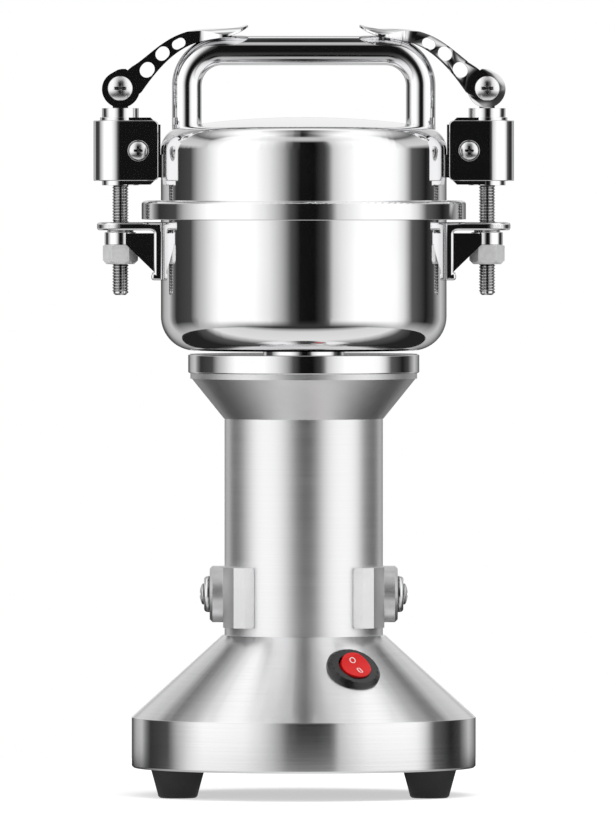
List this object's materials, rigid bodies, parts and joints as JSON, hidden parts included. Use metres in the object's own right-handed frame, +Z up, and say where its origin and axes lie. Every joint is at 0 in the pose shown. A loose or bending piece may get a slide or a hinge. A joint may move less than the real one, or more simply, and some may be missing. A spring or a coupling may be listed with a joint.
{
  "type": "electric grain mill",
  "caption": "Upright electric grain mill: steel bowl with a blade rotor on a motor column and conical base, lift-off lid with a bail handle held by two cam-lever clamps, red rocker switch.",
  "frame": {"origin": "on the floor under the motor axis, at the middle of the four feet", "axes": "+Z up along the motor axis, switch side towards -Y, clamps on the X axis"},
  "size_m": [0.1786, 0.1488, 0.3276],
  "materials": {
    "brushed_steel": "horizontally brushed stainless sheet",
    "satin_aluminium": "fine satin casting",
    "polished_steel": "mirror-polished stainless",
    "fastener_steel": "polished screws, nuts and rods",
    "plate_steel": "dark zinc-coated sheet",
    "black_rubber": "satin black rubber",
    "white_silicone": "milky silicone sealing ring",
    "red_silicone": "dark red oil-proof seal",
    "black_plastic": "glossy black moulding",
    "red_plastic": "glossy red rocker",
    "inner_steel": "ground machine steel",
    "lamination": "stacked electrical steel",
    "copper": null,
    "brass": "drawn brass tube",
    "carbon": null,
    "fan_plastic": "matt black moulding"
  },
  "bodies": {
    "base": {"base_shell": "brushed_steel", "bottom_plate": "plate_steel", "rubber_feet": "black_rubber", "foot_screws": "fastener_steel", "cord_gland": "black_rubber", "switch_bezel": "black_plastic", "switch_body": "black_plastic", "column_tube": "brushed_steel", "lower_bracket": "satin_aluminium", "lower_bearing": "inner_steel", "neck": "satin_aluminium", "neck_ring": "polished_steel", "upper_bearing": "inner_steel", "stator_core": "lamination", "field_coils": "copper", "brush_holders": "brass", "carbon_brushes": "carbon", "brush_springs": "inner_steel", "brush_covers": "satin_aluminium", "brush_screws": "fastener_steel", "bowl": "polished_steel", "shaft_seal": "red_silicone", "bowl_screws": "fastener_steel", "bowl_bracket_l": "polished_steel", "bowl_bracket_r": "polished_steel", "clamp_collar_l": "polished_steel", "clamp_collar_r": "polished_steel"},
    "lid": {"lid_shell": "polished_steel", "lid_inner_ring": "polished_steel", "lid_gasket": "white_silicone", "handle_tube": "polished_steel", "lid_ear_l": "polished_steel", "clamp_strap_l": "polished_steel", "clamp_sleeve_l": "polished_steel", "strap_screws_l": "fastener_steel", "lid_ear_r": "polished_steel", "clamp_strap_r": "polished_steel", "clamp_sleeve_r": "polished_steel", "strap_screws_r": "fastener_steel"},
    "left_rod": {"clamp_rod_l": "fastener_steel"},
    "right_rod": {"clamp_rod_r": "fastener_steel"},
    "left_lever": {"clamp_lever_l": "polished_steel", "lever_screw_l": "fastener_steel"},
    "right_lever": {"clamp_lever_r": "polished_steel", "lever_screw_r": "fastener_steel"},
    "left_nut": {"clamp_nut_l": "satin_aluminium"},
    "right_nut": {"clamp_nut_r": "satin_aluminium"},
    "rotor": {"motor_shaft": "inner_steel", "rotor_core": "lamination", "rotor_windings": "copper", "commutator": "copper", "cooling_fan": "fan_plastic", "blade_lower": "inner_steel", "blade_upper": "inner_steel", "blade_spacers": "inner_steel", "blade_nut": "fastener_steel"},
    "rocker": {"switch_rocker": "red_plastic"}
  },
  "joints": [
    {"name": "lid_lift", "type": "slide", "parent": "base", "child": "lid", "axis": [0, 0, 1], "range_m": [0, 0.1]},
    {"name": "left_rod_drop", "type": "slide", "parent": "lid", "child": "left_rod", "axis": [0, 0, -1], "range_m": [0, 0.0009]},
    {"name": "left_lever_swing", "type": "hinge", "parent": "left_rod", "child": "left_lever", "pos_m": [-0.0779, 0, 0.30045], "axis": [0, -1, 0], "range_deg": [0, 150]},
    {"name": "left_nut_turn", "type": "hinge", "parent": "base", "child": "left_nut", "pos_m": [-0.0779, 0, 0.23], "axis": [0, 0, 1], "continuous": true},
    {"name": "right_rod_drop", "type": "slide", "parent": "lid", "child": "right_rod", "axis": [0, 0, -1], "range_m": [0, 0.0009]},
    {"name": "right_lever_swing", "type": "hinge", "parent": "right_rod", "child": "right_lever", "pos_m": [0.0779, 0, 0.30045], "axis": [0, 1, 0], "range_deg": [0, 150]},
    {"name": "right_nut_turn", "type": "hinge", "parent": "base", "child": "right_nut", "pos_m": [0.0779, 0, 0.23], "axis": [0, 0, 1], "continuous": true},
    {"name": "rotor_spin", "type": "hinge", "parent": "base", "child": "rotor", "pos_m": [0, 0, 0.12], "axis": [0, 0, 1], "continuous": true},
    {"name": "rocker_tilt", "type": "hinge", "parent": "base", "child": "rocker", "pos_m": [0.02047, -0.0439, 0.05359], "axis": [-0.7713, -0.6038, -0.2012], "range_deg": [0, 14]}
  ],
  "couplings": [
    {"joint": "left_rod_drop", "follows": "left_lever_swing", "m_per_rad": 0.00034377},
    {"joint": "right_rod_drop", "follows": "right_lever_swing", "m_per_rad": 0.00034377}
  ]
}
